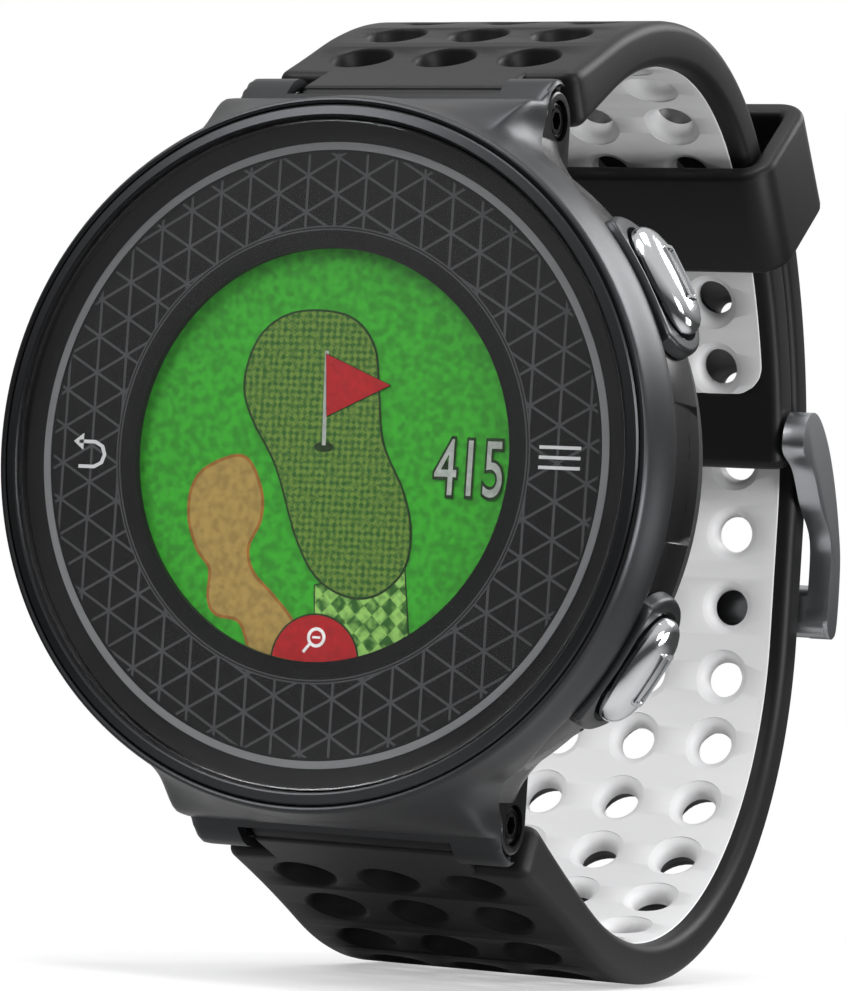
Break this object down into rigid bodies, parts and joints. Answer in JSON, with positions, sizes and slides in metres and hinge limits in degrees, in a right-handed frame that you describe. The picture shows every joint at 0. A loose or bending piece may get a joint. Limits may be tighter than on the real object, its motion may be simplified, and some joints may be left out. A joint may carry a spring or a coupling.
{
  "type": "golf gps watch",
  "caption": "Round wrist-worn golf rangefinder with a colour display, push buttons and a perforated two-layer strap, closed by a pin buckle.",
  "frame": {"origin": "centre of the back cover's flat face, the face that rests on the wrist", "axes": "+Y out of the back cover towards the wrist, so the dial faces -Y; +Z to twelve o'clock; +X to three o'clock"},
  "size_m": [0.045, 0.0617, 0.064],
  "materials": {
    "case_metal": "satin",
    "black_polymer": "gloss",
    "cover_glass": "polished",
    "film": "clear",
    "dial": "printed",
    "silver_print": "metallic",
    "display": "matte",
    "board": "solder mask",
    "flex": "film",
    "foil": "foil",
    "ceramic": "matte",
    "tin": "plated",
    "seal": "matte",
    "steel": "satin",
    "chrome": "polished",
    "black_screw": "blackened",
    "gold": "plated",
    "switch": "matte",
    "silicone_black": "satin",
    "silicone_white": "satin"
  },
  "bodies": {
    "watch": {"accent_ring": "silver_print", "back_cover": "black_polymer", "back_gasket": "seal", "back_screw_1": "steel", "back_screw_2": "steel", "back_screw_3": "steel", "back_screw_4": "steel", "battery": "foil", "beeper": "tin", "buckle_bar": "steel", "case_body": "black_polymer", "charge_contact_1": "gold", "charge_contact_2": "gold", "charge_contact_3": "gold", "charge_contact_4": "gold", "dial_ring": "dial", "display_flex": "flex", "display_frame": "black_polymer", "display_panel": "display", "glass_lens": "cover_glass", "gps_antenna": "ceramic", "lower_left_lug_screw": "black_screw", "lower_right_button_seal": "seal", "lower_right_button_spring": "steel", "lower_right_button_switch": "switch", "lower_right_lug_screw": "black_screw", "lower_strap": "silicone_black", "lower_strap_lining": "silicone_white", "lower_strap_pin": "steel", "main_board": "board", "top_shell": "case_metal", "touch_film": "film", "upper_left_button_seal": "seal", "upper_left_button_spring": "steel", "upper_left_button_switch": "switch", "upper_left_lug_screw": "black_screw", "upper_right_button_seal": "seal", "upper_right_button_spring": "steel", "upper_right_button_switch": "switch", "upper_right_lug_screw": "black_screw", "upper_strap": "silicone_black", "upper_strap_lining": "silicone_white", "upper_strap_pin": "steel", "vibration_motor": "tin"},
    "upper_right_button": {"upper_right_button": "chrome", "upper_right_button_clip": "steel"},
    "lower_right_button": {"lower_right_button": "chrome", "lower_right_button_clip": "steel"},
    "upper_left_button": {"upper_left_button": "chrome", "upper_left_button_clip": "steel"},
    "keeper": {"strap_keeper": "silicone_black"},
    "buckle": {"buckle_frame": "steel"},
    "prong": {"buckle_prong": "steel"}
  },
  "joints": [
    {"name": "upper_right_button_press", "type": "slide", "parent": "watch", "child": "upper_right_button", "axis": [-0.8572, 0, -0.515], "range_m": [0, 0.0004], "stiffness_N_per_m": 1500, "springref_m": -0.0006, "deforming": ["upper_right_button_spring"]},
    {"name": "lower_right_button_press", "type": "slide", "parent": "watch", "child": "lower_right_button", "axis": [-0.8526, 0, 0.5225], "range_m": [0, 0.0004], "stiffness_N_per_m": 1500, "springref_m": -0.0006, "deforming": ["lower_right_button_spring"]},
    {"name": "upper_left_button_press", "type": "slide", "parent": "watch", "child": "upper_left_button", "axis": [0.8572, 0, -0.515], "range_m": [0, 0.0004], "stiffness_N_per_m": 1500, "springref_m": -0.0006, "deforming": ["upper_left_button_spring"]},
    {"name": "keeper_slide", "type": "hinge", "parent": "watch", "child": "keeper", "pos_m": [0, 0.0061, 0], "axis": [1, 0, 0], "range_deg": [-16, 0]},
    {"name": "buckle_frame_hinge", "type": "hinge", "parent": "watch", "child": "buckle", "pos_m": [0, 0.04066, 0.00554], "axis": [1, 0, 0], "range_deg": [0, 60]},
    {"name": "buckle_prong_hinge", "type": "hinge", "parent": "watch", "child": "prong", "pos_m": [0, 0.04066, 0.00554], "axis": [1, 0, 0], "range_deg": [-1, 1]}
  ]
}
